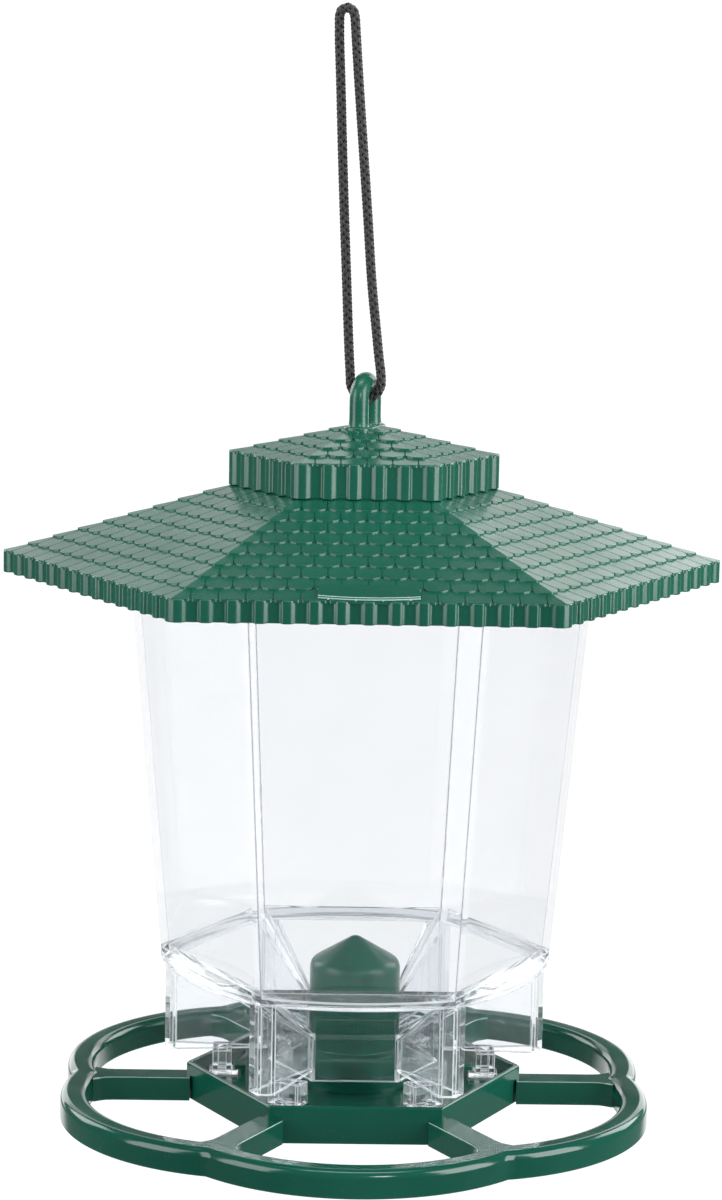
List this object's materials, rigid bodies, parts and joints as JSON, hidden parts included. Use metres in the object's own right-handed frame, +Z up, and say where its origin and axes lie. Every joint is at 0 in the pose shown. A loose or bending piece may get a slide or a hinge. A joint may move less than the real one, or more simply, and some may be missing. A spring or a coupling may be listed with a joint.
{
  "type": "hanging bird feeder",
  "caption": "Hexagonal hanging bird feeder with a two-tier shingled roof, a clear tapered seed hopper with feeding ports, and a tray with a lobed perch ring.",
  "frame": {"origin": "seat of the hook, under the fold at the top of the cord loop, with the feeder hanging plumb", "axes": "+Z up; +X to the feeder's right, +Y to its back, seen from the side with the thumb pad; the front of the roof faces -Y"},
  "size_m": [0.22, 0.1905, 0.3381],
  "materials": {
    "roof_green": "glossy moulded tiles",
    "base_green": "glossy",
    "clear_plastic": "clear moulded plastic, lightly scuffed",
    "cord_black": "open braid"
  },
  "bodies": {
    "cord": {"cord_loop": "cord_black"},
    "roof": {"roof_lower": "roof_green", "roof_cap": "roof_green", "hanger_arch": "roof_green", "thumb_pad": "roof_green", "roof_collar": "roof_green"},
    "hopper": {"hopper_wall_1": "clear_plastic", "hopper_wall_2": "clear_plastic", "hopper_wall_3": "clear_plastic", "hopper_wall_4": "clear_plastic", "hopper_wall_5": "clear_plastic", "hopper_wall_6": "clear_plastic", "port_hood_1": "clear_plastic", "port_hood_2": "clear_plastic", "port_hood_3": "clear_plastic", "port_hood_4": "clear_plastic", "port_hood_5": "clear_plastic", "port_hood_6": "clear_plastic", "funnel_floor": "clear_plastic", "feed_tube": "clear_plastic", "port_divider_1": "clear_plastic", "port_divider_2": "clear_plastic", "port_divider_3": "clear_plastic", "port_divider_4": "clear_plastic", "port_divider_5": "clear_plastic", "port_divider_6": "clear_plastic", "hopper_foot_1": "clear_plastic", "hopper_foot_2": "clear_plastic", "hopper_foot_3": "clear_plastic", "hopper_foot_4": "clear_plastic", "hopper_foot_5": "clear_plastic", "hopper_foot_6": "clear_plastic"},
    "tray": {"tray_dish": "base_green", "tray_lugs": "base_green", "seed_post": "base_green", "spoke_1": "base_green", "spoke_2": "base_green", "spoke_3": "base_green", "spoke_4": "base_green", "spoke_5": "base_green", "spoke_6": "base_green", "perch_1": "base_green", "perch_2": "base_green", "perch_3": "base_green", "perch_4": "base_green", "perch_5": "base_green", "perch_6": "base_green"}
  },
  "joints": [
    {"name": "feeder_swing", "type": "hinge", "parent": "cord", "child": "roof", "pos_m": [0.00747, -0.00287, -0.1154], "axis": [0.9336, -0.3584, 0], "range_deg": [-35, 35]},
    {"name": "hopper_drop", "type": "slide", "parent": "roof", "child": "hopper", "axis": [0, 0, -1], "range_m": [0, 0.06]},
    {"name": "tray_twist", "type": "hinge", "parent": "hopper", "child": "tray", "pos_m": [0.00747, -0.00287, -0.33], "axis": [0, 0, 1], "range_deg": [0, 8]}
  ]
}
